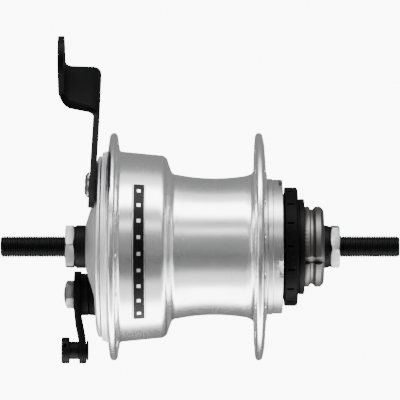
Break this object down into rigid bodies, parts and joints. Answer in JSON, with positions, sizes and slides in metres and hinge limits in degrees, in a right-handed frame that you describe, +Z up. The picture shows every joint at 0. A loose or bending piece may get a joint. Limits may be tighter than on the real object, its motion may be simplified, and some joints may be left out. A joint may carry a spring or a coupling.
{
  "type": "bicycle hub gear",
  "caption": "Planetary hub gear for a bicycle's rear wheel, with a drum brake, torque arm, brake lever, flanged shell, sliding clutch and splined sprocket driver.",
  "frame": {"origin": "on the axle's axis, midway between the outer faces of the two locknuts", "axes": "+X along the axle from the brake side to the sprocket side, +Z up, so +Y is the way the bicycle rides"},
  "size_m": [0.1731, 0.125, 0.1393],
  "materials": {
    "polished_aluminium": "polished, finely turned",
    "turned_aluminium": "turned and polished",
    "zinc_plated_steel": "bright zinc plate",
    "satin_steel": "satin",
    "black_steel": "black, semi-gloss",
    "black_plastic": "moulded, satin",
    "seal_rubber": "matt",
    "bearing_steel": "ground and bright",
    "gear_steel": "ground",
    "spring_steel": "bright wire and strip",
    "cast_iron_liner": "machined",
    "brake_lining": "moulded friction material"
  },
  "bodies": {
    "axle_assembly": {"axle": "black_steel", "left_locknut": "zinc_plated_steel", "left_lock_washer": "black_steel", "left_spacer": "black_steel", "brake_plate": "turned_aluminium", "torque_arm": "black_steel", "arm_rivets": "zinc_plated_steel", "cam_bush": "black_steel", "fulcrum_pin": "gear_steel", "brake_plate_nut": "gear_steel", "cone_locknut": "gear_steel", "left_cone": "bearing_steel", "secondary_sun": "gear_steel", "right_cone": "black_steel", "right_locknut": "zinc_plated_steel"},
    "shell": {"hub_shell": "polished_aluminium", "drum_liner": "cast_iron_liner", "left_ball_cup": "bearing_steel", "shell_ratchet": "gear_steel", "ball_ring": "satin_steel"},
    "left_bearing": {"left_balls": "bearing_steel", "left_ball_cage": "spring_steel"},
    "ring_bearing": {"ring_balls": "bearing_steel", "ring_ball_cage": "spring_steel"},
    "driver_bearing": {"driver_balls": "bearing_steel", "driver_ball_cage": "spring_steel"},
    "driver": {"driver": "satin_steel", "dust_cap": "black_plastic", "sprocket_spacer": "black_steel", "driver_seal": "seal_rubber", "clutch_spring": "spring_steel"},
    "clutch": {"clutch": "gear_steel"},
    "selector": {"selector_key": "gear_steel"},
    "planet_cage": {"planet_cage": "gear_steel", "planet_pins": "gear_steel", "cage_pawls": "gear_steel"},
    "planet_1": {"planet_gear_1": "gear_steel"},
    "planet_2": {"planet_gear_2": "gear_steel"},
    "planet_3": {"planet_gear_3": "gear_steel"},
    "planet_4": {"planet_gear_4": "gear_steel"},
    "primary_sun": {"primary_sun": "gear_steel"},
    "gear_ring": {"gear_ring": "gear_steel", "ring_pawls": "gear_steel"},
    "brake_lever": {"brake_lever": "black_steel", "lever_nut": "zinc_plated_steel", "lever_spacer": "black_steel", "brake_cam": "gear_steel"},
    "cable_pin": {"cable_pin": "black_steel"},
    "front_shoe": {"front_shoe": "turned_aluminium", "front_lining": "brake_lining", "shoe_springs": "spring_steel"},
    "rear_shoe": {"rear_shoe": "turned_aluminium", "rear_lining": "brake_lining"}
  },
  "joints": [
    {"name": "shell_spin", "type": "hinge", "parent": "axle_assembly", "child": "shell", "pos_m": [0, 0, 0], "axis": [1, 0, 0], "continuous": true},
    {"name": "driver_spin", "type": "hinge", "parent": "axle_assembly", "child": "driver", "pos_m": [0, 0, 0], "axis": [1, 0, 0], "continuous": true},
    {"name": "planet_cage_spin", "type": "hinge", "parent": "axle_assembly", "child": "planet_cage", "pos_m": [0, 0, 0], "axis": [1, 0, 0], "continuous": true},
    {"name": "gear_ring_spin", "type": "hinge", "parent": "axle_assembly", "child": "gear_ring", "pos_m": [0, 0, 0], "axis": [1, 0, 0], "continuous": true},
    {"name": "primary_sun_spin", "type": "hinge", "parent": "axle_assembly", "child": "primary_sun", "pos_m": [0, 0, 0], "axis": [1, 0, 0], "continuous": true},
    {"name": "left_bearing_spin", "type": "hinge", "parent": "axle_assembly", "child": "left_bearing", "pos_m": [0, 0, 0], "axis": [1, 0, 0], "continuous": true},
    {"name": "ring_bearing_spin", "type": "hinge", "parent": "axle_assembly", "child": "ring_bearing", "pos_m": [0, 0, 0], "axis": [1, 0, 0], "continuous": true},
    {"name": "driver_bearing_spin", "type": "hinge", "parent": "axle_assembly", "child": "driver_bearing", "pos_m": [0, 0, 0], "axis": [1, 0, 0], "continuous": true},
    {"name": "planet_1_spin", "type": "hinge", "parent": "planet_cage", "child": "planet_1", "pos_m": [0.005, 0.015, 0], "axis": [1, 0, 0], "continuous": true},
    {"name": "planet_2_spin", "type": "hinge", "parent": "planet_cage", "child": "planet_2", "pos_m": [0.005, 0, 0.015], "axis": [1, 0, 0], "continuous": true},
    {"name": "planet_3_spin", "type": "hinge", "parent": "planet_cage", "child": "planet_3", "pos_m": [0.005, -0.015, 0], "axis": [1, 0, 0], "continuous": true},
    {"name": "planet_4_spin", "type": "hinge", "parent": "planet_cage", "child": "planet_4", "pos_m": [0.005, 0, -0.015], "axis": [1, 0, 0], "continuous": true},
    {"name": "selector_slide", "type": "slide", "parent": "axle_assembly", "child": "selector", "axis": [1, 0, 0], "range_m": [0, 0.0036]},
    {"name": "clutch_slide", "type": "slide", "parent": "driver", "child": "clutch", "axis": [1, 0, 0], "range_m": [0, 0.0037], "deforming": ["clutch_spring"]},
    {"name": "brake_lever_turn", "type": "hinge", "parent": "axle_assembly", "child": "brake_lever", "pos_m": [-0.05, 0.01787, -0.0213], "axis": [-1, 0, 0], "range_deg": [0, 25], "stiffness_Nm_per_rad": 0.5, "springref_deg": -5.73},
    {"name": "cable_pin_turn", "type": "hinge", "parent": "brake_lever", "child": "cable_pin", "pos_m": [-0.056, 0.00663, -0.0454], "axis": [1, 0, 0], "range_deg": [-90, 90]},
    {"name": "front_shoe_turn", "type": "hinge", "parent": "axle_assembly", "child": "front_shoe", "pos_m": [-0.031, -0.01787, 0.0213], "axis": [1, 0, 0], "range_deg": [0, 0.76], "deforming": ["shoe_springs"]},
    {"name": "rear_shoe_turn", "type": "hinge", "parent": "axle_assembly", "child": "rear_shoe", "pos_m": [-0.031, -0.01787, 0.0213], "axis": [-1, 0, 0], "range_deg": [0, 0.76]}
  ],
  "couplings": [
    {"joint": "driver_spin", "follows": "shell_spin", "ratio": 0.625},
    {"joint": "planet_cage_spin", "follows": "shell_spin", "ratio": 0.625},
    {"joint": "gear_ring_spin", "follows": "shell_spin", "ratio": 1},
    {"joint": "primary_sun_spin", "follows": "shell_spin", "ratio": -0.5},
    {"joint": "left_bearing_spin", "follows": "shell_spin", "ratio": 0.6002},
    {"joint": "ring_bearing_spin", "follows": "shell_spin", "ratio": 0.8276},
    {"joint": "driver_bearing_spin", "follows": "shell_spin", "ratio": 0.3578},
    {"joint": "planet_1_spin", "follows": "shell_spin", "ratio": 1.125},
    {"joint": "planet_2_spin", "follows": "shell_spin", "ratio": 1.125},
    {"joint": "planet_3_spin", "follows": "shell_spin", "ratio": 1.125},
    {"joint": "planet_4_spin", "follows": "shell_spin", "ratio": 1.125},
    {"joint": "clutch_slide", "follows": "selector_slide", "ratio": 1},
    {"joint": "front_shoe_turn", "follows": "brake_lever_turn", "ratio": 0.03},
    {"joint": "rear_shoe_turn", "follows": "brake_lever_turn", "ratio": 0.03}
  ]
}
